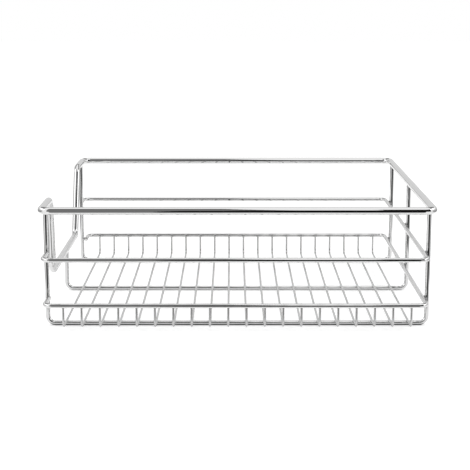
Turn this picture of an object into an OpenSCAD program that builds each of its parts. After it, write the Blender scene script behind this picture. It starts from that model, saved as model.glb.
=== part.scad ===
// Pull-out basket for a kitchen cabinet: welded round wire, plated bright.
// A thick rim closes the top. Two thinner rails run round the front, the right side and the
// back, and a row of thin wires makes the floor. Three U-shaped frames carry all of it, and
// the rim drops into a wide dip on the left, so that things can be reached from that side.
//
// The basket stands on the floor plane with its origin under its middle:
// X to the right, Y to the back, Z up. All sizes are in millimetres.

/* [Basket] */
// Width over the rim
basket_w = 420; // [320:1:600]
// Depth over the rim
basket_d = 400; // [320:1:560]
// Height from the underside of the frames to the top of the rim
basket_h = 136.5; // [128:0.5:220]

/* [Wire] */
// Diameter of the rim's wire
rim_wire = 8; // [6:0.5:10]
// Diameter of the three frames' wire
frame_wire = 5; // [4:0.5:7]
// Diameter of the two rails' wire
rail_wire = 5; // [4:0.5:7]
// Diameter of the floor's wires
floor_wire = 2.5; // [2:0.1:4]

/* [Rim] */
// Radius of the rim's four corners, on the wire's centre line
rim_corner_r = 10; // [8:1:20]
// Length of the rim's side from the front corner to the dip
front_shoulder = 72; // [45:1:80]
// Length of the rim's side from the dip to the back corner
back_shoulder = 67; // [50:1:80]
// How far the bottom of the dip lies below the rim, centre to centre
dip_drop = 82; // [60:1:95]
// How far the dip's front side slopes back on its way down, in degrees
dip_front_slope = 6; // [0:1:15]
// How far the dip's back side slopes forward on its way down, in degrees
dip_back_slope = 24; // [0:1:28]
// Radius of the dip's four bends, on the wire's centre line
dip_bend_r = 11; // [8:1:20]

/* [Rails] */
// How far the middle rail lies below the rim, centre to centre
middle_rail_drop = 52.5; // [40:0.5:60]
// How far the lower rail lies below the rim, centre to centre
lower_rail_drop = 102; // [70:0.5:105]
// Radius of the rails' corners, on the wire's centre line
rail_corner_r = 8; // [6:1:12]
// How much further out than the right side the middle rail's front left arm runs
middle_front_arm_out = 4.6; // [0:0.1:5]
// How much further out than the right side the lower rail's front left arm runs
lower_front_arm_out = 3.8; // [0:0.1:5]
// How much further out than the right side the middle rail's back left arm runs
middle_back_arm_out = 5; // [0:0.1:5]
// How much further out than the right side the lower rail's back left arm runs
lower_back_arm_out = 0; // [0:0.1:5]

/* [Frames] */
// Distance from the front of the rim to the front frame, centre to centre
front_frame_inset = 36; // [22:1:44]
// Distance from the back of the rim to the back frame, centre to centre
back_frame_inset = 28; // [20:1:45]
// Radius of the frames' two bends, on the wire's centre line
frame_bend_r = 8; // [6:1:14]

/* [Floor] */
// Distance from a rail's side run to the outermost floor wire, centre to centre
floor_edge_gap = 15.75; // [14:0.25:22]
// Radius of the floor wires' bends, on the wire's centre line
floor_bend_r = 6; // [4:0.5:10]
// How far the floor wires' ends lie below the top of the lower rail
floor_end_drop = 1; // [0:0.1:2.5]

/* [Hidden] */
$fn = 48;
FLOOR_WIRES = 20;

// A bend is drawn this much thicker than its wire, and the straights reach this far into it,
// so that a straight's end always lies cleanly inside the bend that it joins.
bend_swell = 0.04;
bend_lap = 0.2;

// Half the rim's width, on its centre line. The frames' legs stand straight under it.
side_x = (basket_w - rim_wire) / 2;
// The rails pass inside the legs and touch them.
rail_x = side_x - (frame_wire + rail_wire) / 2;
// Front and back of the rim, which the rails' fronts and backs lie under
front_y = -(basket_d - rim_wire) / 2;
back_y = (basket_d - rim_wire) / 2;
// The frames' places. The middle one is halfway between the other two.
front_frame_y = front_y + front_frame_inset;
back_frame_y = back_y - back_frame_inset;
middle_frame_y = (front_frame_y + back_frame_y) / 2;
// Distance from one floor wire to the next, so that the row fills the width evenly
floor_pitch = 2 * (rail_x - floor_edge_gap) / (FLOOR_WIRES - 1);
// Heights of the wires' centre lines
rim_z = basket_h - rim_wire / 2;
dip_z = rim_z - dip_drop;
middle_rail_z = rim_z - middle_rail_drop;
lower_rail_z = rim_z - lower_rail_drop;
frame_z = frame_wire / 2;
floor_z = frame_wire + floor_wire / 2;
// The floor wires stand up inside the lower rail's front and back.
floor_front_y = front_y + (rail_wire + floor_wire) / 2;
floor_back_y = back_y - (rail_wire + floor_wire) / 2;
floor_end_z = lower_rail_z + rail_wire / 2 - floor_end_drop;
// Where the frames' legs end: against the underside of the rim, or of its dip
leg_top_z = rim_z - rim_wire / 2;
short_leg_top_z = dip_z - rim_wire / 2;
// How far short of a leg's middle a rail's arm ends, so that its end just touches the leg.
// An arm in line with the leg ends against its face, and one with no offset ends beside it.
function arm_gap(out) =
    let (aside = max(0, frame_wire / 2 - out))
    sqrt(pow(frame_wire / 2, 2) - pow(aside, 2));

function unit(v) = v / norm(v);
// The angle that a wire turns through at b, on its way from a to c
function turn(a, b, c) = acos(unit(b - a) * unit(c - b));
// How much of each straight the bend at b takes up
function bend_reach(a, b, c, r) = r * tan(turn(a, b, c) / 2);

// A straight round wire from a to b
module straight(a, b, wire) {
    v = b - a;
    translate(a)
        rotate([0, acos(v.z / norm(v)), atan2(v.y, v.x)])
            cylinder(h = norm(v), d = wire);
}

// The round bend of radius r that takes a wire past b, on its way from a to c
module bend(a, b, c, r, wire) {
    along = unit(b - a);
    inward = unit(unit(c - b) - along * (along * unit(c - b)));
    start = b - along * bend_reach(a, b, c, r);
    centre = start + inward * r;
    up = cross(-inward, along);
    multmatrix([
        [-inward.x, along.x, up.x, centre.x],
        [-inward.y, along.y, up.y, centre.y],
        [-inward.z, along.z, up.z, centre.z],
        [0, 0, 0, 1]
    ])
        rotate_extrude(angle = turn(a, b, c))
            translate([r, 0])
                circle(d = wire + bend_swell);
}

// One wire bent along the points, with the radius radii[i] at point i.
// An open wire has no bend at its first and last point, and a closed one has a bend at each.
module bent_wire(points, radii, wire, closed = false) {
    n = len(points);
    trim = [
        for (i = [0 : n - 1])
            closed || (i > 0 && i < n - 1)
                ? bend_reach(points[(i + n - 1) % n], points[i], points[(i + 1) % n], radii[i])
                    - bend_lap
                : 0
    ];
    for (i = [0 : closed ? n - 1 : n - 2]) {
        from = points[i];
        to = points[(i + 1) % n];
        along = unit(to - from);
        straight(from + along * trim[i], to - along * trim[(i + 1) % n], wire);
    }
    for (i = closed ? [0 : n - 1] : [1 : n - 2])
        bend(points[(i + n - 1) % n], points[i], points[(i + 1) % n], radii[i], wire);
}

module top_rim() {
    dip_front_y = front_y + front_shoulder;
    dip_back_y = back_y - back_shoulder;
    points = [
        [side_x, front_y, rim_z],
        [side_x, back_y, rim_z],
        [-side_x, back_y, rim_z],
        [-side_x, dip_back_y, rim_z],
        [-side_x, dip_back_y - dip_drop * tan(dip_back_slope), dip_z],
        [-side_x, dip_front_y + dip_drop * tan(dip_front_slope), dip_z],
        [-side_x, dip_front_y, rim_z],
        [-side_x, front_y, rim_z]
    ];
    c = rim_corner_r;
    d = dip_bend_r;
    color("gainsboro")
        bent_wire(points, [c, c, c, d, d, d, d, c], rim_wire, closed = true);
}

// A rail from its front left arm round the front, the right side and the back to its back arm
module rail(z, front_arm_out, back_arm_out) {
    front_arm_x = -rail_x - front_arm_out;
    back_arm_x = -rail_x - back_arm_out;
    points = [
        [front_arm_x, front_frame_y - arm_gap(front_arm_out), z],
        [front_arm_x, front_y, z],
        [rail_x, front_y, z],
        [rail_x, back_y, z],
        [back_arm_x, back_y, z],
        [back_arm_x, back_frame_y + arm_gap(back_arm_out), z]
    ];
    color("silver")
        bent_wire(points, [for (p = points) rail_corner_r], rail_wire);
}

module middle_rail() rail(middle_rail_z, middle_front_arm_out, middle_back_arm_out);

module lower_rail() rail(lower_rail_z, lower_front_arm_out, lower_back_arm_out);

// A U-shaped frame with its left leg up to left_top_z
module frame(y, left_top_z) {
    points = [
        [-side_x, y, left_top_z],
        [-side_x, y, frame_z],
        [side_x, y, frame_z],
        [side_x, y, leg_top_z]
    ];
    color("silver")
        bent_wire(points, [for (p = points) frame_bend_r], frame_wire);
}

module front_frame() frame(front_frame_y, leg_top_z);

module middle_frame() frame(middle_frame_y, short_leg_top_z);

module back_frame() frame(back_frame_y, leg_top_z);

// Floor wire number i, counted from the left: it lies on the frames and turns up at both ends.
module floor_wire(i) {
    x = (i - (FLOOR_WIRES + 1) / 2) * floor_pitch;
    points = [
        [x, floor_front_y, floor_end_z],
        [x, floor_front_y, floor_z],
        [x, floor_back_y, floor_z],
        [x, floor_back_y, floor_end_z]
    ];
    color("lightgray")
        bent_wire(points, [for (p = points) floor_bend_r], floor_wire);
}

top_rim();
middle_rail();
lower_rail();
front_frame();
middle_frame();
back_frame();
for (i = [1 : FLOOR_WIRES])
    floor_wire(i);
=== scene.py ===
"""A pull-out cabinet basket of bright plated wire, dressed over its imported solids.

Each wire of the basket is carried again along its own line, as a smooth round surface with cut ends, and
replaces the solid of the same wire. The welds that join the wires are surfaces of their own. A white studio
with a dark room in front gives the plating something to mirror.
"""

import logging
import math
from dataclasses import dataclass
from enum import Enum
from typing import Any, Sequence

import bpy
import numpy as np
from mathutils import Euler, Matrix, Vector
from numpy.typing import NDArray


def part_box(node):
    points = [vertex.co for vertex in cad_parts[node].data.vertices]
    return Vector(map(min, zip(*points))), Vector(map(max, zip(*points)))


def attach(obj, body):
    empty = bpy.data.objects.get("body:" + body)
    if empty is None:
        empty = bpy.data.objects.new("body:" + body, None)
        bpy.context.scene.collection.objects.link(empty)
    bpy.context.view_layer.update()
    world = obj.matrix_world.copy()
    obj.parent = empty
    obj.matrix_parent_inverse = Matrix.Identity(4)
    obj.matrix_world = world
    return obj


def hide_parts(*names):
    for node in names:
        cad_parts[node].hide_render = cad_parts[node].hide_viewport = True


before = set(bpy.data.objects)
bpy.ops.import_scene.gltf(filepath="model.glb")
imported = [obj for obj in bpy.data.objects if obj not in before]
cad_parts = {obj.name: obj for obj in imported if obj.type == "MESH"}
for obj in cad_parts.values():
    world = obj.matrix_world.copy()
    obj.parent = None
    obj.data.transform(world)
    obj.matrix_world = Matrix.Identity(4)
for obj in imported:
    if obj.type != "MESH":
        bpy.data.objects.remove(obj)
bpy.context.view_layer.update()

Array = NDArray[np.float64]
Faces = NDArray[np.int64]
Tree = bpy.types.NodeTree
Node = bpy.types.Node
Socket = bpy.types.NodeSocket

LOG = logging.getLogger("basket")
MM = 0.001
X, Y, Z = np.eye(3)
FRAME_NAMES = ("front_frame", "middle_frame", "back_frame")
RAIL_NAMES = ("middle_rail", "lower_rail")
FLOOR_WIRES = 20
# The UV map and the attribute of each piece that the finishes read
WIRE_MAP = "wire"
WELD_MARK = "weld"
# A Mix node's inputs and its colour output by number, because their names are alike for values and colours
FACTOR, VALUE_A, VALUE_B, COLOUR_A, COLOUR_B, COLOUR_OUT = 0, 2, 3, 6, 7, 2
# Stands in for zero where something is divided by it
TINY = 1e-6


class Slot(Enum):
    """The record's material slots."""

    RIM = "rim"
    RAILS = "rails"
    FRAMES = "frames"
    FLOOR = "floor_wires"


# ---------------------------------------------------------------------------------------------------------
# Colours, nodes and objects


def linear(hex_colour: str) -> tuple[float, float, float, float]:
    """Turns an sRGB hex colour into linear light.

    With c a channel from 0 to 1, its light is c / 12.92 up to 0.04045, and ((c + 0.055) / 1.055) ^ 2.4 above.

    Args:
        hex_colour: The colour as "#RRGGBB".

    Returns:
        Red, green, blue and an alpha of 1.
    """
    part = np.array([int(hex_colour[i : i + 2], 16) for i in (1, 3, 5)]) / 255
    low, high = part / 12.92, ((part + 0.055) / 1.055) ** 2.4
    red, green, blue = np.where(part <= 0.04045, low, high).tolist()
    return red, green, blue, 1.0


def add_node(tree: Tree, kind: str, inputs: dict[Any, Any] | None = None, **settings: Any) -> Node:
    """Adds a node with its settings, values and links.

    Args:
        tree: The node tree that takes the node.
        kind: The node's Blender type.
        inputs: A value, or an output socket to link from, for each input by name or number.
        **settings: Attributes of the node itself.

    Returns:
        The new node.
    """
    node = tree.nodes.new(kind)
    for name, value in settings.items():
        setattr(node, name, value)
    for name, value in (inputs or {}).items():
        if isinstance(value, Socket):
            tree.links.new(value, node.inputs[name])
        else:
            node.inputs[name].default_value = value
    return node


def new_material(name: str) -> tuple[Tree, bpy.types.Material]:
    """Makes a material with an empty node tree.

    Args:
        name: The material's name.

    Returns:
        The tree and the material.
    """
    material = bpy.data.materials.new(name)
    material.use_nodes = True
    material.node_tree.nodes.clear()
    return material.node_tree, material


def new_object(name: str, data: bpy.types.ID) -> bpy.types.Object:
    """Makes an object at the origin and puts it in the scene.

    Args:
        name: The object's name.
        data: Its mesh, lamp or camera.

    Returns:
        The object.
    """
    thing = bpy.data.objects.new(name, data)
    bpy.context.scene.collection.objects.link(thing)
    return thing


# ---------------------------------------------------------------------------------------------------------
# The plating


@dataclass(frozen=True)
class ChromePlate:
    """Bright chromium over nickel on drawn steel wire, polished before plating.

    The plating mirrors its surroundings. What tells it from a perfect mirror is the faint orange peel of the
    nickel under it, the drawing lines that run along the wire, and a milky bloom round each weld.
    """

    name: str
    colour: str
    bloom_colour: str
    roughness: float
    # How much rougher the bloom is, and how much the roughness varies from patch to patch
    bloom_roughness: float = 0.2
    haze: float = 0.2
    # Drawing lines lie about 0.05 mm apart on the wire, too fine to show, so they are drawn six to eight
    # times as wide. They are a hundred times as long as that.
    line_spacing: float = 0.4 * MM
    line_depth: float = 0.0006 * MM
    line_stretch: float = 100.0
    # Width and depth of the nickel's orange peel, and how many times as wide the patches of haze are
    peel_size: float = 3.0 * MM
    peel_depth: float = 0.004 * MM
    patch: float = 2.0
    # How many times the patches, the peel and the lines are broken up into finer ones
    patch_detail: float = 3.0
    peel_detail: float = 1.0
    line_detail: float = 2.0

    def build(self) -> bpy.types.Material:
        """Makes the material.

        The bloom follows the attribute that is 1 on a weld and fades to 0 a few millimetres away. The lines
        follow the wire's own UV map, whose U runs round the wire and V along it, both in metres.

        Returns:
            The material.
        """
        tree, material = new_material(self.name)
        place = add_node(tree, "ShaderNodeTexCoord")
        weld = add_node(tree, "ShaderNodeAttribute", attribute_name=WELD_MARK)
        patches = add_node(tree, "ShaderNodeTexNoise",
                           {"Vector": place.outputs["Object"], "Scale": 1 / (self.patch * self.peel_size),
                            "Detail": self.patch_detail})
        bloom = add_node(tree, "ShaderNodeMath", {0: weld.outputs["Fac"], 1: patches.outputs["Fac"]},
                         operation="MULTIPLY")
        colour = add_node(tree, "ShaderNodeMix",
                          {FACTOR: bloom.outputs[0], COLOUR_A: linear(self.colour),
                           COLOUR_B: linear(self.bloom_colour)}, data_type="RGBA")
        haze = add_node(tree, "ShaderNodeMapRange",
                        {"Value": patches.outputs["Fac"], "To Min": (1 - self.haze) * self.roughness,
                         "To Max": (1 + self.haze) * self.roughness})
        roughness = add_node(tree, "ShaderNodeMath",
                             {0: bloom.outputs[0], 1: self.bloom_roughness, 2: haze.outputs["Result"]},
                             operation="MULTIPLY_ADD")
        peel = add_node(tree, "ShaderNodeTexNoise",
                        {"Vector": place.outputs["Object"], "Scale": 1 / self.peel_size,
                         "Detail": self.peel_detail})
        wire_map = add_node(tree, "ShaderNodeUVMap", uv_map=WIRE_MAP)
        along = add_node(tree, "ShaderNodeMapping",
                         {"Vector": wire_map.outputs[0], "Scale": (1.0, 1 / self.line_stretch, 1.0)})
        lines = add_node(tree, "ShaderNodeTexNoise",
                         {"Vector": along.outputs[0], "Scale": 1 / self.line_spacing,
                          "Detail": self.line_detail})
        drawn = add_node(tree, "ShaderNodeBump",
                         {"Height": lines.outputs["Fac"], "Distance": self.line_depth})
        surface = add_node(tree, "ShaderNodeBump",
                           {"Height": peel.outputs["Fac"], "Distance": self.peel_depth,
                            "Normal": drawn.outputs[0]})
        shader = add_node(tree, "ShaderNodeBsdfPrincipled",
                          {"Base Color": colour.outputs[COLOUR_OUT], "Metallic": 1.0,
                           "Roughness": roughness.outputs[0], "Normal": surface.outputs[0]})
        add_node(tree, "ShaderNodeOutputMaterial", {"Surface": shader.outputs[0]})
        return material


RIM_PLATE = ChromePlate(
    name="chrome_plated_rim_wire", colour="#E0E0E0", bloom_colour="#B6B6B6", roughness=0.025,
)
RAIL_PLATE = ChromePlate(
    name="chrome_plated_rail_wire", colour="#DFDFDF", bloom_colour="#B2B2B2", roughness=0.03,
)
FRAME_PLATE = ChromePlate(
    name="chrome_plated_frame_wire", colour="#DBDBDB", bloom_colour="#AEAEAE", roughness=0.03,
)
# Its colour is darker than the other plates' as painted shade, for how dark the thin floor wires look in
# their surroundings. Its higher roughness is the duller plate.
FLOOR_PLATE = ChromePlate(
    name="chrome_plated_floor_wire", colour="#CACACA", bloom_colour="#A6A6A6", roughness=0.04,
    line_spacing=0.3 * MM, peel_size=2.0 * MM,
)
WELD_PLATE = ChromePlate(
    name="chrome_plated_weld", colour="#CACACA", bloom_colour="#A2A2A2", roughness=0.1, bloom_roughness=0.15,
    peel_size=1.2 * MM, peel_depth=0.03 * MM,
)


# ---------------------------------------------------------------------------------------------------------
# Lines and surfaces


def unit(vectors: Array) -> Array:
    """Scales each vector to length 1.

    Args:
        vectors: The vectors along the last axis.

    Returns:
        Each divided by its length.
    """
    return vectors / np.linalg.norm(vectors, axis=-1, keepdims=True)


@dataclass(frozen=True)
class Line:
    """The centre line of a wire: its points and unit tangents, and whether it is a ring."""

    points: Array
    tangents: Array
    closed: bool

    @property
    def run(self) -> Array:
        """Length along the line from its first point to each point."""
        steps = np.linalg.norm(np.diff(self.points, axis=0), axis=1)
        return np.concatenate([[0.0], np.cumsum(steps)])


def straight_part(start: Array, end: Array, spacing: float) -> tuple[Array, Array]:
    """Spreads points evenly between two ends, each at start + its share of the way * (end - start).

    Args:
        start: One end, which is left out.
        end: The other end, which is left out too.
        spacing: The largest distance from point to point.

    Returns:
        The points and the tangents.
    """
    count = max(1, math.ceil(float(np.linalg.norm(end - start)) / spacing))
    share = np.arange(1, count)[:, None] / count
    points = start + share * (end - start)
    return points, np.broadcast_to(unit(end - start), points.shape)


def round_part(before: Array, corner: Array, after: Array, radius: float, steps: int) -> tuple[Array, Array]:
    """The arc that takes a wire round a corner.

    With the incoming direction u and the unit vector v across it, towards the inside of the bend, the point
    after an angle a is start + radius * (sin(a) * u + (1 - cos(a)) * v), and its tangent is
    cos(a) * u + sin(a) * v.

    Args:
        before: The corner before this one.
        corner: The corner that is rounded.
        after: The corner after this one.
        radius: The bend's radius on the centre line.
        steps: How many parts the arc is cut into.

    Returns:
        The points and the tangents, both of the arc's ends among them.
    """
    u = unit(corner - before)
    w = unit(after - corner)
    v = unit(w - u * float(u @ w))
    angle = math.acos(float(np.clip(u @ w, -1, 1)))
    start = corner - u * radius * math.tan(angle / 2)
    a = np.linspace(0, angle, steps + 1)[:, None]
    points = start + radius * (np.sin(a) * u + (1 - np.cos(a)) * v)
    return points, np.cos(a) * u + np.sin(a) * v


def bent_line(corners: Sequence[Sequence[float]], radii: Sequence[float], closed: bool = False,
              spacing: float = 3 * MM, bend_steps: int = 14) -> Line:
    """The centre line of a wire that runs straight from corner to corner, with a round bend at each.

    Args:
        corners: The corners, and an open wire's two ends.
        radii: The bend's radius at each corner. An open wire's ends have none, and theirs isn't read.
        closed: Whether the wire is a ring.
        spacing: The largest distance from point to point on a straight.
        bend_steps: How many parts each bend is cut into.

    Returns:
        The line.
    """
    at = np.array(corners, float)
    n = len(at)
    bends = range(n) if closed else range(1, n - 1)
    parts = [round_part(at[i - 1], at[i], at[(i + 1) % n], radii[i], bend_steps) for i in bends]
    if not closed:
        first, last = unit(at[1] - at[0]), unit(at[-1] - at[-2])
        parts = [(at[:1], first[None]), *parts, (at[-1:], last[None])]
    pieces = []
    for here, there in zip(parts, parts[1:] + (parts[:1] if closed else [])):
        pieces += [here, straight_part(here[0][-1], there[0][0], spacing)]
    if not closed:
        pieces.append(parts[-1])
    return Line(np.concatenate([p for p, _ in pieces]), np.concatenate([t for _, t in pieces]), closed)


@dataclass(frozen=True)
class Surface:
    """Arrays of a mesh: vertices, faces of four and three corners, and a UV pair for each vertex."""

    vertices: Array
    quads: Faces
    triangles: Faces
    uv: Array

    @staticmethod
    def joined(parts: Sequence["Surface"]) -> "Surface":
        """Puts surfaces together without merging them.

        Args:
            parts: The surfaces.

        Returns:
            All of them as one.
        """
        starts = np.cumsum([0] + [len(p.vertices) for p in parts[:-1]])
        return Surface(
            np.concatenate([p.vertices for p in parts]),
            np.concatenate([p.quads + s for p, s in zip(parts, starts)]),
            np.concatenate([p.triangles + s for p, s in zip(parts, starts)]),
            np.concatenate([p.uv for p in parts]),
        )


def grid_faces(rows: int, columns: int, wrap: bool) -> Faces:
    """Faces of a grid whose vertices are numbered row by row, and whose columns close into a ring.

    The vertex at row i and column j has the number i * columns + j. Each face takes it, the next one along
    its row, and the same two of the next row.

    Args:
        rows: Number of rows.
        columns: Number of vertices in a row.
        wrap: Whether the last row joins the first one.

    Returns:
        The faces of four corners.
    """
    row, column = np.meshgrid(np.arange(rows if wrap else rows - 1), np.arange(columns), indexing="ij")
    below, right = (row + 1) % rows, (column + 1) % columns
    corners = ((row, column), (row, right), (below, right), (below, column))
    return np.stack([(r * columns + c).ravel() for r, c in corners], axis=1)


def fan(start: int, columns: int, pole: int, flip: bool) -> Faces:
    """Triangles from a ring of vertices to a pole.

    Args:
        start: Number of the ring's first vertex.
        columns: Number of vertices in the ring.
        pole: Number of the pole's vertex.
        flip: Whether the triangles run the other way round, as those under a surface do.

    Returns:
        The triangles.
    """
    column = np.arange(columns)
    one, two = start + column, start + (column + 1) % columns
    if flip:
        one, two = two, one
    return np.stack([one, two, np.full(columns, pole)], axis=1)


def wire_rings(line: Line, wire: float, edge_share: float = 0.16,
               edge_rings: int = 5) -> tuple[Array, Array, Array, Array]:
    """The rings of points that make a wire's surface.

    At a cut end the rings shrink over a quarter circle, which leaves a flat face with a rounded edge. With
    e the edge's radius and t the angle of the quarter circle, a ring there lies e * (1 - sin(t)) inside the
    face, and its radius is e * (1 - cos(t)) less than the wire's.

    Args:
        line: The wire's centre line.
        wire: The wire's diameter.
        edge_share: The edge's radius as a share of the wire's diameter.
        edge_rings: How many rings an edge has.

    Returns:
        The middle, the tangent, the length run so far and the radius of each ring.
    """
    radius = np.full(len(line.points), wire / 2)
    if line.closed:
        return line.points, line.tangents, line.run, radius
    points, tangents, run = line.points, line.tangents, line.run
    edge = edge_share * wire
    t = np.linspace(0, math.pi / 2, edge_rings)
    inset, shrink = edge * (1 - np.sin(t)), edge * (1 - np.cos(t))
    head = points[0] + inset[::-1, None] * tangents[0]
    tail = points[-1] - inset[:, None] * tangents[-1]
    first, last = (np.repeat(end, edge_rings, axis=0) for end in (tangents[:1], tangents[-1:]))
    return (
        np.concatenate([head, points[1:-1], tail]),
        np.concatenate([first, tangents[1:-1], last]),
        np.concatenate([run[0] + inset[::-1], run[1:-1], run[-1] - inset]),
        np.concatenate([wire / 2 - shrink[::-1], radius[1:-1], wire / 2 - shrink]),
    )


def wire_surface(line: Line, wire: float, across: Array, sides: int) -> Surface:
    """The round surface of a wire along its line.

    With n the unit vector across the line and the reference direction, and m the one across the line and n,
    the point at the angle a round the wire is line point + r * (cos(a) * n + sin(a) * m), where r is the
    ring's radius.

    Args:
        line: The wire's centre line.
        wire: The wire's diameter.
        across: The reference direction, which is never along the line.
        sides: How many points go round the wire.

    Returns:
        The closed surface.
    """
    points, tangents, run, radius = wire_rings(line, wire)
    n = unit(np.cross(tangents, across))
    m = np.cross(tangents, n)
    a = np.linspace(0, 2 * math.pi, sides, endpoint=False)
    ring = np.cos(a)[None, :, None] * n[:, None] + np.sin(a)[None, :, None] * m[:, None]
    vertices = (points[:, None] + radius[:, None, None] * ring).reshape(-1, 3)
    uv = np.stack(np.broadcast_arrays(a[None] * wire / 2, run[:, None]), axis=-1).reshape(-1, 2)
    quads = grid_faces(len(points), sides, line.closed)
    if line.closed:
        return Surface(vertices, quads, np.zeros((0, 3), int), uv)
    first, last = len(vertices), len(vertices) + 1
    vertices = np.concatenate([vertices, points[:1], points[-1:]])
    uv = np.concatenate([uv, [[0.0, 0.0]], [[0.0, run[-1]]]])
    fans = [fan(0, sides, first, True), fan((len(points) - 1) * sides, sides, last, False)]
    return Surface(vertices, quads, np.concatenate(fans), uv)


def profile_surface(reach: Array, height: Array) -> Surface:
    """A closed knob: a profile carried round its own axis, with a pole at both ends.

    The point on row i at the angle a is (reach[i, a] * cos(a), reach[i, a] * sin(a), height[i, a]). The rows
    run from the bottom to the top, and the poles lie at the mean height of the first and the last row.

    Args:
        reach: Distance from the axis for each row and angle, in metres.
        height: Height along the axis for each row and angle, in metres.

    Returns:
        The closed surface.
    """
    rows, columns = reach.shape
    a = np.linspace(0, 2 * math.pi, columns, endpoint=False)
    vertices = np.stack([reach * np.cos(a), reach * np.sin(a), height], axis=-1).reshape(-1, 3)
    poles = [[0, 0, height[0].mean()], [0, 0, height[-1].mean()]]
    uv = np.stack(np.broadcast_arrays(a[None] * reach.max(), height), axis=-1).reshape(-1, 2)
    bottom, top = rows * columns, rows * columns + 1
    fans = [fan(0, columns, bottom, True), fan((rows - 1) * columns, columns, top, False)]
    return Surface(np.concatenate([vertices, poles]), grid_faces(rows, columns, False), np.concatenate(fans),
                   np.concatenate([uv, np.zeros((2, 2))]))


def placed(surface: Surface, at: Array, axes: Array, size: Array) -> Surface:
    """Copies of a surface, one for each place. A vertex lies at place + size * the vertex in its new axes.

    Args:
        surface: The surface round its own origin.
        at: The places, one row each.
        axes: The directions that the surface's X, Y and Z take, as the rows of one matrix.
        size: The scale of each copy.

    Returns:
        All the copies as one surface.
    """
    n, count = len(surface.vertices), len(at)
    turned = surface.vertices @ axes
    vertices = (at[:, None] + size[:, None, None] * turned[None]).reshape(-1, 3)
    start = (np.arange(count) * n)[:, None, None]
    return Surface(vertices, (surface.quads[None] + start).reshape(-1, 4),
                   (surface.triangles[None] + start).reshape(-1, 3), np.tile(surface.uv, (count, 1)))


# ---------------------------------------------------------------------------------------------------------
# Pieces


def to_object(name: str, surface: Surface, heat: Array) -> bpy.types.Object:
    """Makes a smooth-shaded mesh object of a surface.

    Args:
        name: The piece's name.
        surface: Its surface.
        heat: How near each vertex lies to a weld, from 0 to 1.

    Returns:
        The object, at the origin.
    """
    mesh = bpy.data.meshes.new(name)
    quads, triangles = surface.quads, surface.triangles
    corners = np.concatenate([quads.ravel(), triangles.ravel()])
    sizes = np.concatenate([np.full(len(quads), 4), np.full(len(triangles), 3)])
    mesh.vertices.add(len(surface.vertices))
    mesh.vertices.foreach_set("co", surface.vertices.ravel())
    mesh.loops.add(len(corners))
    mesh.loops.foreach_set("vertex_index", corners)
    mesh.polygons.add(len(sizes))
    mesh.polygons.foreach_set("loop_start", np.concatenate([[0], np.cumsum(sizes)[:-1]]))
    mesh.polygons.foreach_set("use_smooth", np.ones(len(sizes), bool))
    mesh.uv_layers.new(name=WIRE_MAP).data.foreach_set("uv", surface.uv[corners].ravel())
    mesh.attributes.new(WELD_MARK, "FLOAT", "POINT").data.foreach_set("value", heat.astype(np.float32))
    mesh.update()
    mesh.validate()
    return new_object(name, mesh)


def heat_near(vertices: Array, welds: Array, reach: float) -> Array:
    """How strongly the welds have marked each vertex: exp(-(distance / reach)^2) for the nearest weld.

    Args:
        vertices: The vertices.
        welds: The middles of the welds.
        reach: How far a weld's mark reaches.

    Returns:
        A mark from 0 to 1 for each vertex.
    """
    nearest = np.full(len(vertices), np.inf)
    for weld in welds:
        nearest = np.minimum(nearest, ((vertices - weld) ** 2).sum(axis=1))
    return np.exp(-nearest / reach**2)


def dress(piece: bpy.types.Object, material: bpy.types.Material, slot: Slot, *replaced: str) -> None:
    """Gives a piece its finish, lets it ride on the basket, and hides the solids that it replaces.

    Args:
        piece: The piece.
        material: Its finish.
        slot: The record's slot for it.
        *replaced: The solids that the piece stands for.
    """
    piece.data.materials.append(material)
    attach(piece, "root")
    if replaced:
        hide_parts(*replaced)
    LOG.info("%s: %d faces, slot %s", piece.name, len(piece.data.polygons), slot.value)


def dressed_wire(name: str, node: str, surface: Surface, welds: Array, material: bpy.types.Material,
                 slot: Slot, heat_reach: float = 5 * MM) -> None:
    """Makes the piece of one wire, dressed and in the place of its solid.

    Args:
        name: The piece's name.
        node: The solid of the same wire.
        surface: The wire's surface.
        welds: The middles of all welds.
        material: The wire's finish.
        slot: The record's slot for it.
        heat_reach: How far a weld's mark reaches along the wire.
    """
    piece = to_object(name, surface, heat_near(surface.vertices, welds, heat_reach))
    dress(piece, material, slot, node)


# ---------------------------------------------------------------------------------------------------------
# The basket


@dataclass(frozen=True)
class Basket:
    """Diameters of the wires, and the places that they share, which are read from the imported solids."""

    rim_wire: float = 8 * MM
    frame_wire: float = 5 * MM
    rail_wire: float = 5 * MM
    floor_wire: float = 2.5 * MM

    @staticmethod
    def box(node: str) -> tuple[Array, Array]:
        """Lowest and highest corner of a solid."""
        low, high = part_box(node)
        return np.array(low), np.array(high)

    @property
    def side_x(self) -> float:
        """Half the distance between the rim's two sides, and between the legs under them."""
        return float(self.box("front_frame")[1][0]) - self.frame_wire / 2

    @property
    def rail_x(self) -> float:
        """Half the distance between the rails' two sides."""
        return self.side_x - (self.frame_wire + self.rail_wire) / 2

    @property
    def front_y(self) -> float:
        """Where the rim and the rails run across the front."""
        return float(self.box("top_rim")[0][1]) + self.rim_wire / 2

    @property
    def back_y(self) -> float:
        """Where the rim and the rails run across the back."""
        return float(self.box("top_rim")[1][1]) - self.rim_wire / 2

    @property
    def rim_z(self) -> float:
        """Height of the rim's centre line."""
        return float(self.box("top_rim")[1][2]) - self.rim_wire / 2

    @property
    def dip_z(self) -> float:
        """Height of the centre line at the bottom of the rim's dip."""
        return float(self.box("top_rim")[0][2]) + self.rim_wire / 2

    def middle(self, node: str) -> Array:
        """The middle of a solid's box."""
        low, high = self.box(node)
        return (low + high) / 2


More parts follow.
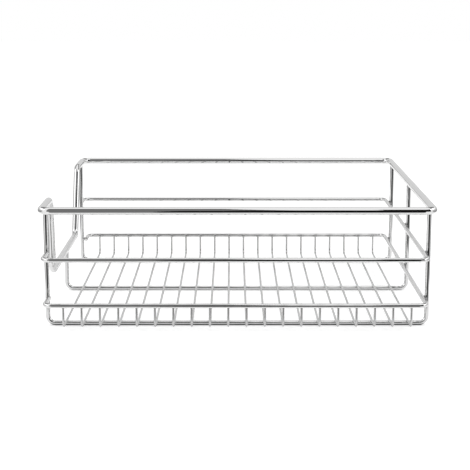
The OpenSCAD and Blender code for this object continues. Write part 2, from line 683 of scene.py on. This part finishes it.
@dataclass
class TopRim:
    """The thick ring round the top, which dips low on the left."""

    basket: Basket
    corner_radius: float = 10 * MM
    front_shoulder: float = 72 * MM
    back_shoulder: float = 67 * MM
    # How far the dip's sides slope towards its middle, in degrees
    front_slope: float = 6.0
    back_slope: float = 24.0
    bend_radius: float = 11 * MM
    sides: int = 40

    def line(self) -> Line:
        """Works out the rim's centre line.

        Returns:
            The closed line, from the front right corner round the back to the dip and the front left corner.
        """
        b = self.basket
        x, front, back, top, low = b.side_x, b.front_y, b.back_y, b.rim_z, b.dip_z
        dip_front, dip_back = front + self.front_shoulder, back - self.back_shoulder
        drop = top - low
        corners = [
            (x, front, top), (x, back, top), (-x, back, top), (-x, dip_back, top),
            (-x, dip_back - drop * math.tan(math.radians(self.back_slope)), low),
            (-x, dip_front + drop * math.tan(math.radians(self.front_slope)), low),
            (-x, dip_front, top), (-x, front, top),
        ]
        c, d = self.corner_radius, self.bend_radius
        return bent_line(corners, [c, c, c, d, d, d, d, c], closed=True)

    def build(self, welds: Array) -> None:
        """Makes the rim, marked by the welds whose middles are given."""
        surface = wire_surface(self.line(), self.basket.rim_wire, Z, self.sides)
        dressed_wire("rim_wire", "top_rim", surface, welds, RIM_PLATE.build(), Slot.RIM)


@dataclass(frozen=True)
class Arms:
    """How much further out than the right side a rail's two left arms run."""

    front: float
    back: float


@dataclass
class SideRails:
    """The two thinner wires round the front, the right side and the back."""

    basket: Basket
    corner_radius: float = 8 * MM
    middle_arms: Arms = Arms(front=4.6 * MM, back=5 * MM)
    lower_arms: Arms = Arms(front=3.8 * MM, back=0.0)
    sides: int = 32

    def arms(self, node: str) -> Arms:
        """The arms of a rail."""
        return self.middle_arms if node == "middle_rail" else self.lower_arms

    def height(self, node: str) -> float:
        """Height of a rail's centre line."""
        return float(self.basket.middle(node)[2])

    def arm_end(self, leg_y: float, out: float, towards: float) -> float:
        """Where an arm ends at a leg: against its face if the arm is in line with it, or beside it.

        Args:
            leg_y: Where the leg stands.
            out: How far out the arm runs.
            towards: 1 for an arm that runs back to its leg, and -1 for one that runs forward.

        Returns:
            The end's place along Y.
        """
        r = self.basket.frame_wire / 2
        aside = max(0.0, r - out)
        return leg_y - towards * math.sqrt(r * r - aside * aside)

    def line(self, node: str) -> Line:
        """Works out the centre line of a rail.

        Args:
            node: The rail's solid.

        Returns:
            The line, from its front left arm round the front, the right side and the back to its back arm.
        """
        b = self.basket
        z, arms = self.height(node), self.arms(node)
        front_leg, back_leg = (float(b.middle(f)[1]) for f in ("front_frame", "back_frame"))
        corners = [
            (-b.rail_x - arms.front, self.arm_end(front_leg, arms.front, 1), z),
            (-b.rail_x - arms.front, b.front_y, z), (b.rail_x, b.front_y, z),
            (b.rail_x, b.back_y, z), (-b.rail_x - arms.back, b.back_y, z),
            (-b.rail_x - arms.back, self.arm_end(back_leg, arms.back, -1), z),
        ]
        return bent_line(corners, [self.corner_radius] * len(corners))

    def build(self, welds: Array) -> None:
        """Makes both rails.

        Args:
            welds: The middles of all welds.
        """
        plate = RAIL_PLATE.build()
        for node in RAIL_NAMES:
            surface = wire_surface(self.line(node), self.basket.rail_wire, Z, self.sides)
            dressed_wire(f"{node}_wire", node, surface, welds, plate, Slot.RAILS)


@dataclass
class Frames:
    """The three U-shaped wires that carry the floor, the rails and the rim."""

    basket: Basket
    bend_radius: float = 8 * MM
    # The legs reach this far into the rim's underside, where their welds are.
    sink: float = 0.8 * MM
    sides: int = 32

    def leg_top(self, rim_z: float) -> float:
        """Height of a leg's end under a stretch of the rim whose centre line is at the height given."""
        return rim_z - self.basket.rim_wire / 2 + self.sink

    def line(self, node: str) -> Line:
        """Works out the centre line of a frame. The middle one's left leg ends under the rim's dip.

        Args:
            node: The frame's solid.

        Returns:
            The line, from the top of the left leg to the top of the right one.
        """
        b = self.basket
        y, low = float(b.middle(node)[1]), b.frame_wire / 2
        left_top = self.leg_top(b.dip_z if node == "middle_frame" else b.rim_z)
        corners = [(-b.side_x, y, left_top), (-b.side_x, y, low), (b.side_x, y, low),
                   (b.side_x, y, self.leg_top(b.rim_z))]
        return bent_line(corners, [self.bend_radius] * len(corners))

    def build(self, welds: Array) -> None:
        """Makes the three frames.

        Args:
            welds: The middles of all welds.
        """
        plate = FRAME_PLATE.build()
        for node in FRAME_NAMES:
            surface = wire_surface(self.line(node), self.basket.frame_wire, Y, self.sides)
            dressed_wire(f"{node}_wire", node, surface, welds, plate, Slot.FRAMES)


@dataclass
class FloorRow:
    """The row of thin wires from front to back, turned up at both ends inside the lower rail."""

    basket: Basket
    bend_radius: float = 6 * MM
    bend_steps: int = 10
    heat_reach: float = 3 * MM
    sides: int = 20

    @staticmethod
    def node(i: int) -> str:
        """Name of the solid of wire i, counted from the left."""
        return f"floor_wire_{i}"

    @property
    def stations(self) -> Array:
        """Where the wires stand across the width."""
        return np.array([self.basket.middle(self.node(i))[0] for i in range(1, FLOOR_WIRES + 1)])

    def line(self, i: int) -> Line:
        """Works out the centre line of a wire.

        Args:
            i: The wire's number, counted from the left.

        Returns:
            The line, from its front end to its back end.
        """
        low, high = self.basket.box(self.node(i))
        x, r = float(low[0] + high[0]) / 2, self.basket.floor_wire / 2
        front, back, bottom, top = low[1] + r, high[1] - r, low[2] + r, high[2]
        corners = [(x, front, top), (x, front, bottom), (x, back, bottom), (x, back, top)]
        return bent_line(corners, [self.bend_radius] * len(corners), bend_steps=self.bend_steps)

    def build(self, welds: Array) -> None:
        """Makes the row, one piece for each wire.

        Args:
            welds: The middles of all welds.
        """
        plate = FLOOR_PLATE.build()
        for i in range(1, FLOOR_WIRES + 1):
            surface = wire_surface(self.line(i), self.basket.floor_wire, X, self.sides)
            dressed_wire(f"floor_rod_{i}", self.node(i), surface, welds, plate, Slot.FLOOR, self.heat_reach)


@dataclass
class Welds:
    """The welds. Thin wires are pressed on and welded in one shot, and thick ones have a bead of metal."""

    basket: Basket
    rails: SideRails
    floor: FloorRow
    # Where two wires cross, a neck joins them: how far it spreads at a floor wire, and between a rail and a
    # leg, the share of its spread that it draws in by, how deep a floor wire is pressed into a frame, and how
    # far across a wire the neck may reach, as a share of the wire's radius
    floor_spread: float = 1.5 * MM
    rail_spread: float = 2.2 * MM
    waist: float = 0.35
    press: float = 0.05 * MM
    neck_limit: float = 0.9
    # A bead lies on each crossing of a rail and a right leg, and a spot beside the lower rail's back arm:
    # half of their sizes along X, Y and Z, and how far they lie from where the two wires touch
    bead_half: tuple[float, float, float] = (0.9 * MM, 1.3 * MM, 1.4 * MM)
    bead_shift: tuple[float, float, float] = (-0.5 * MM, 0.0, 1.4 * MM)
    spot_half: tuple[float, float, float] = (0.9 * MM, 1.3 * MM, 1.2 * MM)
    spot_shift: tuple[float, float, float] = (0.0, 1.6 * MM, 1.2 * MM)
    # A fillet runs round each arm's end and each leg's top: its reach along both wires, and how far across
    # the wire that they meet it may reach, as a share of that wire's radius
    arm_throat: float = 0.35 * MM
    leg_throat: float = 1.2 * MM
    collar_limit: float = 0.93
    # How much the welds differ in size, as a spread and at most
    scatter: float = 0.05
    most: float = 0.12
    seed: int = 7
    columns: int = 24
    neck_rows: int = 9
    bead_rows: int = 10
    collar_rows: int = 8

    @property
    def angles(self) -> Array:
        """The angles round a weld."""
        return np.linspace(0, 2 * math.pi, self.columns, endpoint=False)

    @property
    def frame_ys(self) -> Array:
        """Where the frames stand along the depth."""
        return np.array([self.basket.middle(n)[1] for n in FRAME_NAMES])

    def sizes(self, rng: np.random.Generator, at: Array) -> Array:
        """A scale for the weld at each place, since no two come out alike."""
        return rng.normal(1, self.scatter, len(at)).clip(1 - self.most, 1 + self.most)

    @staticmethod
    def way(width: float, slant: Array) -> Array:
        """How far each direction runs until it is that far across a wire. Its slant is its sine or cosine."""
        return width / np.maximum(np.abs(slant), TINY)

    def neck(self, under: float, over: float, spread: float) -> Surface:
        """The neck of metal between two crossed wires that touch at the origin.

        The lower wire lies along X with its top at the origin, and the upper one along Y with its underside
        there. At the distance d and the angle a the lower surface is at sqrt(u^2 - (d sin a)^2) - u and the
        upper one at o - sqrt(o^2 - (d cos a)^2), with u and o their radii. The neck's foot and head stand on
        them at the distance d, and between the two it draws in over a half sine.

        Args:
            under: Diameter of the lower wire.
            over: Diameter of the upper wire.
            spread: How far the neck spreads from the point of contact.

        Returns:
            The closed surface.
        """
        a, u, o = self.angles, under / 2, over / 2
        edge = np.minimum(spread, np.minimum(self.way(self.neck_limit * u, np.sin(a)),
                                             self.way(self.neck_limit * o, np.cos(a))))
        foot = np.sqrt(u**2 - (edge * np.sin(a)) ** 2) - u
        head = o - np.sqrt(o**2 - (edge * np.cos(a)) ** 2)
        s = np.linspace(0, 1, self.neck_rows)[:, None]
        reach = edge * (1 - self.waist * np.sin(math.pi * s))
        return profile_surface(reach, foot + (head - foot) * (1 - np.cos(math.pi * s)) / 2)

    def bead(self, half: Sequence[float]) -> Surface:
        """A rounded bead: an ellipsoid whose rows are spread evenly in angle.

        At the angle a round the axis and the angle r above the middle, the surface is h * sin(r) high and
        cos(r) / sqrt((cos(a) / f)^2 + (sin(a) / g)^2) from the axis, with f, g and h the half sizes.

        Args:
            half: Half of its size along X, Y and Z.

        Returns:
            The closed surface.
        """
        f, g, h = half
        a = self.angles
        r = np.linspace(-math.pi / 2, math.pi / 2, self.bead_rows + 2)[1:-1, None]
        reach = np.cos(r) / np.sqrt((np.cos(a) / f) ** 2 + (np.sin(a) / g) ** 2)
        return profile_surface(reach, np.broadcast_to(h * np.sin(r), reach.shape))

    def collar(self, post: float, bar: float, throat: float) -> Surface:
        """The fillet where the end of a round post meets the side of a round bar.

        The post stands along -Z and the bar lies along Y over it, with its underside at the origin. From the
        post's side, a throat's width under the origin, the fillet swings out to the bar's underside, at
        b - sqrt(b^2 - x^2), over a quarter ellipse. b is the bar's radius.

        Args:
            post: Diameter of the post.
            bar: Diameter of the bar.
            throat: How far the fillet reaches along both.

        Returns:
            The closed surface.
        """
        a, p, b = self.angles, post / 2, bar / 2
        edge = np.minimum(p + throat, self.way(self.collar_limit * b, np.cos(a)))
        head = b - np.sqrt(b**2 - (edge * np.cos(a)) ** 2)
        s = np.linspace(0, math.pi / 2, self.collar_rows)[:, None]
        return profile_surface(p + (edge - p) * (1 - np.cos(s)), -throat + (head + throat) * np.sin(s))

    def places(self) -> dict[str, Array]:
        """Works out where the welds are.

        Returns:
            The middles of the welds, by kind.
        """
        b, rails = self.basket, self.rails
        x, ys = self.floor.stations, self.frame_ys
        wires, frames = np.meshgrid(x, ys, indexing="ij")
        heights = np.array([rails.height(n) for n in RAIL_NAMES])
        middle_z, lower_z = heights
        ends = np.stack([x, np.zeros_like(x), np.full(x.size, lower_z)], axis=1)
        leg_y, rail_z = (g.ravel() for g in np.meshgrid(ys, heights, indexing="ij"))
        face = b.side_x - b.frame_wire / 2
        top, dip = b.rim_z - b.rim_wire / 2, b.dip_z - b.rim_wire / 2
        front, middle, back = ys
        legs = [(b.side_x, y, top) for y in ys]
        legs += [(-b.side_x, front, top), (-b.side_x, back, top), (-b.side_x, middle, dip)]
        front_arms = [(-b.rail_x - out, rails.arm_end(front, out, 1), z)
                      for out, z in zip((rails.arms(n).front for n in RAIL_NAMES), heights)]
        back_out = rails.arms("middle_rail").back
        back_arm = (-b.rail_x - back_out, rails.arm_end(back, back_out, -1), middle_z)
        return {
            "crossing": np.stack([wires.ravel(), frames.ravel(), np.full(wires.size, b.frame_wire)], axis=1),
            "front_end": ends + Y * (b.front_y + b.rail_wire / 2),
            "back_end": ends + Y * (b.back_y - b.rail_wire / 2),
            "right": np.stack([np.full(leg_y.size, face), leg_y, rail_z], axis=1),
            "leg_top": np.array(legs),
            "front_arm": np.array(front_arms),
            "back_arm": np.array([back_arm]),
            "back_side": np.array([(-face, back, lower_z)]) + self.spot_shift,
        }

    def build(self) -> None:
        """Makes the welds, one piece for each kind."""
        b, at = self.basket, self.places()
        plate = WELD_PLATE.build()
        rng = np.random.default_rng(self.seed)
        upright = np.array([X, Y, Z])
        small = self.neck(b.frame_wire, b.floor_wire, self.floor_spread)
        end = self.neck(b.rail_wire, b.floor_wire, self.floor_spread)
        floor_welds = [
            placed(small, at["crossing"] - Z * self.press, upright, self.sizes(rng, at["crossing"])),
            placed(end, at["front_end"], np.array([X, -Z, Y]), self.sizes(rng, at["front_end"])),
            placed(end, at["back_end"], np.array([X, Z, -Y]), self.sizes(rng, at["back_end"])),
        ]
        nugget = self.neck(b.frame_wire, b.rail_wire, self.rail_spread)
        butt = self.collar(b.rail_wire, b.frame_wire, self.arm_throat)
        rail_welds = [
            placed(nugget, at["right"], np.array([-Z, -Y, -X]), self.sizes(rng, at["right"])),
            placed(self.bead(self.spot_half), at["back_side"], upright, np.ones(len(at["back_side"]))),
            placed(self.bead(self.bead_half), at["right"] + self.bead_shift, upright,
                   self.sizes(rng, at["right"])),
            placed(butt, at["front_arm"], np.array([-X, Z, Y]), self.sizes(rng, at["front_arm"])),
            placed(butt, at["back_arm"], np.array([X, -Z, -Y]), self.sizes(rng, at["back_arm"])),
        ]
        collar = self.collar(b.frame_wire, b.rim_wire, self.leg_throat)
        rim_welds = [placed(collar, at["leg_top"], upright, self.sizes(rng, at["leg_top"]))]
        for name, parts, slot in (
            ("floor_welds", floor_welds, Slot.FLOOR),
            ("rail_welds", rail_welds, Slot.RAILS),
            ("rim_welds", rim_welds, Slot.RIM),
        ):
            surface = Surface.joined(parts)
            dress(to_object(name, surface, np.ones(len(surface.vertices))), plate, slot)


# ---------------------------------------------------------------------------------------------------------
# The studio


@dataclass(frozen=True)
class View:
    """The camera: where it stands and how it is turned. The angles are in degrees."""

    place: tuple[float, float, float] = (-5.6 * MM, -1513.3 * MM, 363.0 * MM)
    downwards: float = 11.0
    to_the_right: float = 0.13
    roll: float = 0.015
    # Focal length and width of the sensor, in millimetres
    lens: float = 98.1
    sensor: float = 36.0
    # The nearest and the furthest distance that it sees
    sight: tuple[float, float] = (0.05, 50.0)

    def build(self) -> None:
        """Makes the camera."""
        data = bpy.data.cameras.new("camera")
        data.lens, data.sensor_width = self.lens, self.sensor
        data.clip_start, data.clip_end = self.sight
        camera = new_object("camera", data)
        upwards, sideways = math.radians(90 - self.downwards), math.radians(self.to_the_right)
        turn = Euler((upwards, 0.0, -sideways), "XYZ").to_matrix()
        matrix = (turn @ Matrix.Rotation(math.radians(self.roll), 3, "Z")).to_4x4()
        matrix.translation = self.place
        camera.matrix_world = matrix
        bpy.context.scene.camera = camera


@dataclass(frozen=True)
class Edge:
    """A soft edge: a level that changes smoothly from one value to another between a start and an end."""

    start: float
    end: float
    before: float = 0.0
    after: float = 1.0


def band(start: float, end: float, soft: float) -> tuple[Edge, Edge]:
    """The two edges of a band, inside which the level is 1.

    Args:
        start: The middle of the first edge.
        end: The middle of the last one.
        soft: How far each edge reaches on both sides of its middle.

    Returns:
        The two edges.
    """
    return Edge(start - soft, start + soft), Edge(end - soft, end + soft, before=1.0, after=0.0)


def soft_edges(tree: Tree, *crossed: tuple[Any, ...]) -> Socket:
    """The product of soft edges, each of them across a value of its own.

    With t the share of the way from an edge's start to its end, kept between 0 and 1, its level is
    before + (after - before) * (3 * t^2 - 2 * t^3).

    Args:
        tree: The node tree that takes the nodes.
        *crossed: For each value its socket, and the edges across it.

    Returns:
        The product.
    """
    levels = [
        add_node(tree, "ShaderNodeMapRange",
                 {"Value": value, "From Min": edge.start, "From Max": edge.end, "To Min": edge.before,
                  "To Max": edge.after}, interpolation_type="SMOOTHSTEP").outputs["Result"]
        for value, *edges in crossed
        for edge in edges
    ]
    product = levels[0]
    for level in levels[1:]:
        product = add_node(tree, "ShaderNodeMath", {0: product, 1: level}, operation="MULTIPLY").outputs[0]
    return product


@dataclass(frozen=True)
class Paper:
    """The sheet of white paper that the basket stands on.

    To the eye it is white, with the basket's shadow. In mirrors it has edges: past the front one they see the
    surroundings, and past the ones at the sides it is grey.
    """

    side: float = 14.0
    colour: str = "#F2F2F2"
    # The light that the paper has to the eye, beside what the lamps and the surroundings give it
    lift: float = 0.25
    # The front edge along Y, and the paper's level from its middle out to the sides
    front_edge: Edge = Edge(-0.27, -0.21)
    side_edge: Edge = Edge(0.39, 0.45, before=1.0, after=0.33)
    # How far round a wire its contact shadow reaches, and how deep it is along Y
    contact_reach: float = 3 * MM
    contact_depth: Edge = Edge(-0.12, -0.04, before=2.6, after=0.0)
    contact_samples: int = 8

    def material(self) -> bpy.types.Material:
        """Makes the paper's finish.

        In mirrors its level is sheet * sky ^ depth, with sheet the level between its edges, sky the share of
        the sky that is open round the point, and depth that of the contact shadow.

        Returns:
            The material.
        """
        tree, material = new_material("studio_floor")
        path = add_node(tree, "ShaderNodeLightPath")
        place = add_node(tree, "ShaderNodeTexCoord")
        xyz = add_node(tree, "ShaderNodeSeparateXYZ", {"Vector": place.outputs["Object"]})
        on_sheet = soft_edges(tree, (xyz.outputs["Y"], self.front_edge))
        aside = add_node(tree, "ShaderNodeMath", {0: xyz.outputs["X"]}, operation="ABSOLUTE")
        sheet = soft_edges(tree, (aside.outputs[0], self.side_edge))
        open_sky = add_node(tree, "ShaderNodeAmbientOcclusion", {"Distance": self.contact_reach},
                            samples=self.contact_samples)
        depth = soft_edges(tree, (xyz.outputs["Y"], self.contact_depth))
        contact = add_node(tree, "ShaderNodeMath", {0: open_sky.outputs["AO"], 1: depth}, operation="POWER")
        level = add_node(tree, "ShaderNodeMath", {0: sheet, 1: contact.outputs[0]}, operation="MULTIPLY")
        grey = add_node(tree, "ShaderNodeCombineColor", {channel: level.outputs[0] for channel in range(3)})
        white = add_node(tree, "ShaderNodeBsdfDiffuse", {"Color": linear(self.colour)})
        lift = add_node(tree, "ShaderNodeEmission", {"Strength": self.lift})
        seen = add_node(tree, "ShaderNodeAddShader", {0: white.outputs[0], 1: lift.outputs[0]})
        dull = add_node(tree, "ShaderNodeBsdfDiffuse", {"Color": grey.outputs[0]})
        past = add_node(tree, "ShaderNodeBsdfTransparent")
        mirrored = add_node(tree, "ShaderNodeMixShader",
                            {0: on_sheet, 1: past.outputs[0], 2: dull.outputs[0]})
        mixed = add_node(tree, "ShaderNodeMixShader",
                         {0: path.outputs["Is Glossy Ray"], 1: seen.outputs[0], 2: mirrored.outputs[0]})
        add_node(tree, "ShaderNodeOutputMaterial", {"Surface": mixed.outputs[0]})
        return material

    def build(self) -> None:
        """Makes the paper, which is part of the stage."""
        half = self.side / 2
        mesh = bpy.data.meshes.new("studio_floor")
        mesh.from_pydata([(-half, -half, 0), (half, -half, 0), (half, half, 0), (-half, half, 0)], [],
                         [(0, 1, 2, 3)])
        mesh.materials.append(self.material())
        new_object("studio_floor", mesh)


@dataclass(frozen=True)
class DarkRoom:
    """The dark room in front of the basket, which gives the plating its dark bands.

    It lies between its two sides, over its foot and under its top. The top falls from left to right near
    azimuth 0 and rises again further right. A field in the upper left of the room is grey. Angles are in
    degrees, and azimuth 0 is straight in front.
    """

    # Its sides across the azimuth
    sides: tuple[Edge, Edge] = band(-33.0, 58.0, soft=3.0)
    # Elevation of the top across the azimuth, where it falls, and what the rise adds to it
    top_fall: Edge = Edge(-1.5, 3.5, before=72.0, after=27.0)
    top_rise: Edge = Edge(7.0, 9.5, before=0.0, after=19.0)
    # Elevation of the foot across the angle from the front
    foot: Edge = Edge(13.5, 17.0, before=-46.0, after=-16.0)
    # How soft the top and the foot are
    top_edge: Edge = Edge(-2.0, 3.0)
    foot_edge: Edge = Edge(-4.0, 4.0)
    # The grey field: its right side and the elevation of its foot across the azimuth, how soft that foot is,
    # and how far under the room's top it ends
    field_side: Edge = Edge(-1.0, 2.5, before=1.0, after=0.0)
    field_foot: Edge = Edge(-5.5, -2.0, before=-60.0, after=8.0)
    field_foot_edge: Edge = Edge(0.0, 6.0)
    field_top_edge: Edge = Edge(9.0, 15.0)
    # How bright the room is, and how much brighter the field is
    level: float = 0.008
    field_level: float = 0.20

    def add_to(self, tree: Tree, azimuth: Socket, aside: Socket, elevation: Socket) -> tuple[Socket, Socket]:
        """Adds the room to a node tree.

        Args:
            tree: The tree that takes the nodes.
            azimuth: A direction's angle from the front, to the right.
            aside: The same without its sign.
            elevation: Its angle over the horizon.

        Returns:
            Where the room is, from 0 to 1, and its level there.
        """
        fall, rise, foot, field_foot = (
            soft_edges(tree, crossed)
            for crossed in ((azimuth, self.top_fall), (azimuth, self.top_rise), (aside, self.foot),
                            (azimuth, self.field_foot))
        )
        top = add_node(tree, "ShaderNodeMath", {0: fall, 1: rise}, operation="ADD").outputs[0]
        under_top, over_foot, over_field_foot = (
            add_node(tree, "ShaderNodeMath", {0: higher, 1: lower}, operation="SUBTRACT").outputs[0]
            for higher, lower in ((top, elevation), (elevation, foot), (elevation, field_foot))
        )
        inside = soft_edges(tree, (under_top, self.top_edge), (azimuth, *self.sides),
                            (over_foot, self.foot_edge))
        field = soft_edges(tree, (azimuth, self.field_side), (over_field_foot, self.field_foot_edge),
                           (under_top, self.field_top_edge))
        level = add_node(tree, "ShaderNodeMath", {0: field, 1: self.field_level, 2: self.level},
                         operation="MULTIPLY_ADD")
        return inside, level.outputs[0]


@dataclass(frozen=True)
class Flag:
    """A dull flag in the surroundings. It takes its depth from the light between its edges."""

    depth: float
    # Its edges across the angle from the front, and across the elevation
    aside: tuple[Edge, ...]
    elevation: tuple[Edge, ...]


@dataclass(frozen=True)
class Surroundings:
    """What stands round the basket: white to the eye, a plain fill on dull surfaces, and a studio in mirrors.

    Levels are how bright something looks to a mirror, where 1 is white. Angles are in degrees.
    """

    room: DarkRoom = DarkRoom()
    # Light on dull surfaces, and in mirrors overhead
    fill: float = 0.95
    overhead: float = 1.08
    # The low and the high flags at the sides, the one behind, and the grey backdrop near the horizon behind
    flags: tuple[Flag, ...] = (
        Flag(0.40, band(74.0, 161.0, soft=3.0), (Edge(18.0, 22.0, before=1.0, after=0.0),)),
        Flag(0.85, band(74.0, 161.0, soft=3.0), band(32.0, 58.0, soft=2.0)),
        Flag(0.80, (Edge(158.0, 164.0),), band(16.5, 40.0, soft=2.0)),
        Flag(0.32, (Edge(150.0, 165.0),), (Edge(12.0, 18.0, before=1.0, after=0.0),)),
    )

    def build(self) -> None:
        """Makes the world.

        The elevation is asin(z) of the direction and the azimuth is atan2(x, -y), 0 towards the front.
        """
        world = bpy.data.worlds.new("studio_world")
        world.use_nodes = True
        tree = world.node_tree
        tree.nodes.clear()
        direction = add_node(tree, "ShaderNodeTexCoord")
        xyz = add_node(tree, "ShaderNodeSeparateXYZ", {"Vector": direction.outputs["Generated"]})
        forwards = add_node(tree, "ShaderNodeMath", {0: xyz.outputs["Y"], 1: -1.0}, operation="MULTIPLY")
        upwards = add_node(tree, "ShaderNodeMath", {0: xyz.outputs["Z"]}, operation="ARCSINE")
        sideways = add_node(tree, "ShaderNodeMath", {0: xyz.outputs["X"], 1: forwards.outputs[0]},
                            operation="ARCTAN2")
        elevation, azimuth = (
            add_node(tree, "ShaderNodeMath", {0: angle.outputs[0]}, operation="DEGREES").outputs[0]
            for angle in (upwards, sideways)
        )
        aside = add_node(tree, "ShaderNodeMath", {0: azimuth}, operation="ABSOLUTE").outputs[0]
        light: float | Socket = self.overhead
        for flag in self.flags:
            shade = soft_edges(tree, (aside, *flag.aside), (elevation, *flag.elevation))
            light = add_node(tree, "ShaderNodeMath", {0: shade, 1: -flag.depth, 2: light},
                             operation="MULTIPLY_ADD").outputs[0]
        inside, level = self.room.add_to(tree, azimuth, aside, elevation)
        mirrored = add_node(tree, "ShaderNodeMix", {FACTOR: inside, VALUE_A: light, VALUE_B: level})
        path = add_node(tree, "ShaderNodeLightPath")
        dull = add_node(tree, "ShaderNodeMix",
                        {FACTOR: path.outputs["Is Diffuse Ray"], VALUE_A: 1.0, VALUE_B: self.fill})
        strength = add_node(tree, "ShaderNodeMix",
                            {FACTOR: path.outputs["Is Glossy Ray"], VALUE_A: dull.outputs[0],
                             VALUE_B: mirrored.outputs[0]})
        white = add_node(tree, "ShaderNodeBackground",
                         {"Color": (1, 1, 1, 1), "Strength": strength.outputs[0]})
        add_node(tree, "ShaderNodeOutputWorld", {"Surface": white.outputs[0]})
        bpy.context.scene.world = world


@dataclass(frozen=True)
class Lamp:
    """A soft rectangular lamp that points at the basket.

    Its level is how bright its face looks, where 1 is white. Its power is pi times its area times its level.
    """

    name: str
    place: tuple[float, float, float]
    size: tuple[float, float] = (1.3, 0.7)
    level: float = 1.5
    target: tuple[float, float, float] = (0.0, 0.0, 0.07)

    def build(self) -> None:
        """Makes the lamp."""
        data = bpy.data.lights.new(self.name, "AREA")
        data.shape = "RECTANGLE"
        data.size, data.size_y = self.size
        data.energy = math.pi * self.size[0] * self.size[1] * self.level
        matrix = (Vector(self.place) - Vector(self.target)).to_track_quat("Z", "Y").to_matrix().to_4x4()
        matrix.translation = self.place
        new_object(self.name, data).matrix_world = matrix


@dataclass(frozen=True)
class Studio:
    """The paper, the surroundings and a soft lamp on either side."""

    paper: Paper = Paper()
    surroundings: Surroundings = Surroundings()
    lamps: tuple[Lamp, ...] = (Lamp("left_lamp", (-1.5, -0.2, 1.1)), Lamp("right_lamp", (1.5, -0.2, 1.1)))

    def build(self) -> None:
        """Makes all of it."""
        bpy.context.scene.view_settings.view_transform = "Standard"
        for thing in (self.paper, self.surroundings, *self.lamps):
            thing.build()


def main() -> None:
    """Builds the basket and its studio."""
    logging.basicConfig(level=logging.INFO, format="%(name)s: %(message)s")
    View().build()
    Studio().build()
    basket = Basket()
    rails, floor = SideRails(basket), FloorRow(basket)
    welds = Welds(basket, rails, floor)
    places = np.concatenate(list(welds.places().values()))
    TopRim(basket).build(places)
    rails.build(places)
    Frames(basket).build(places)
    floor.build(places)
    welds.build()


if __name__ == "__main__":
    main()
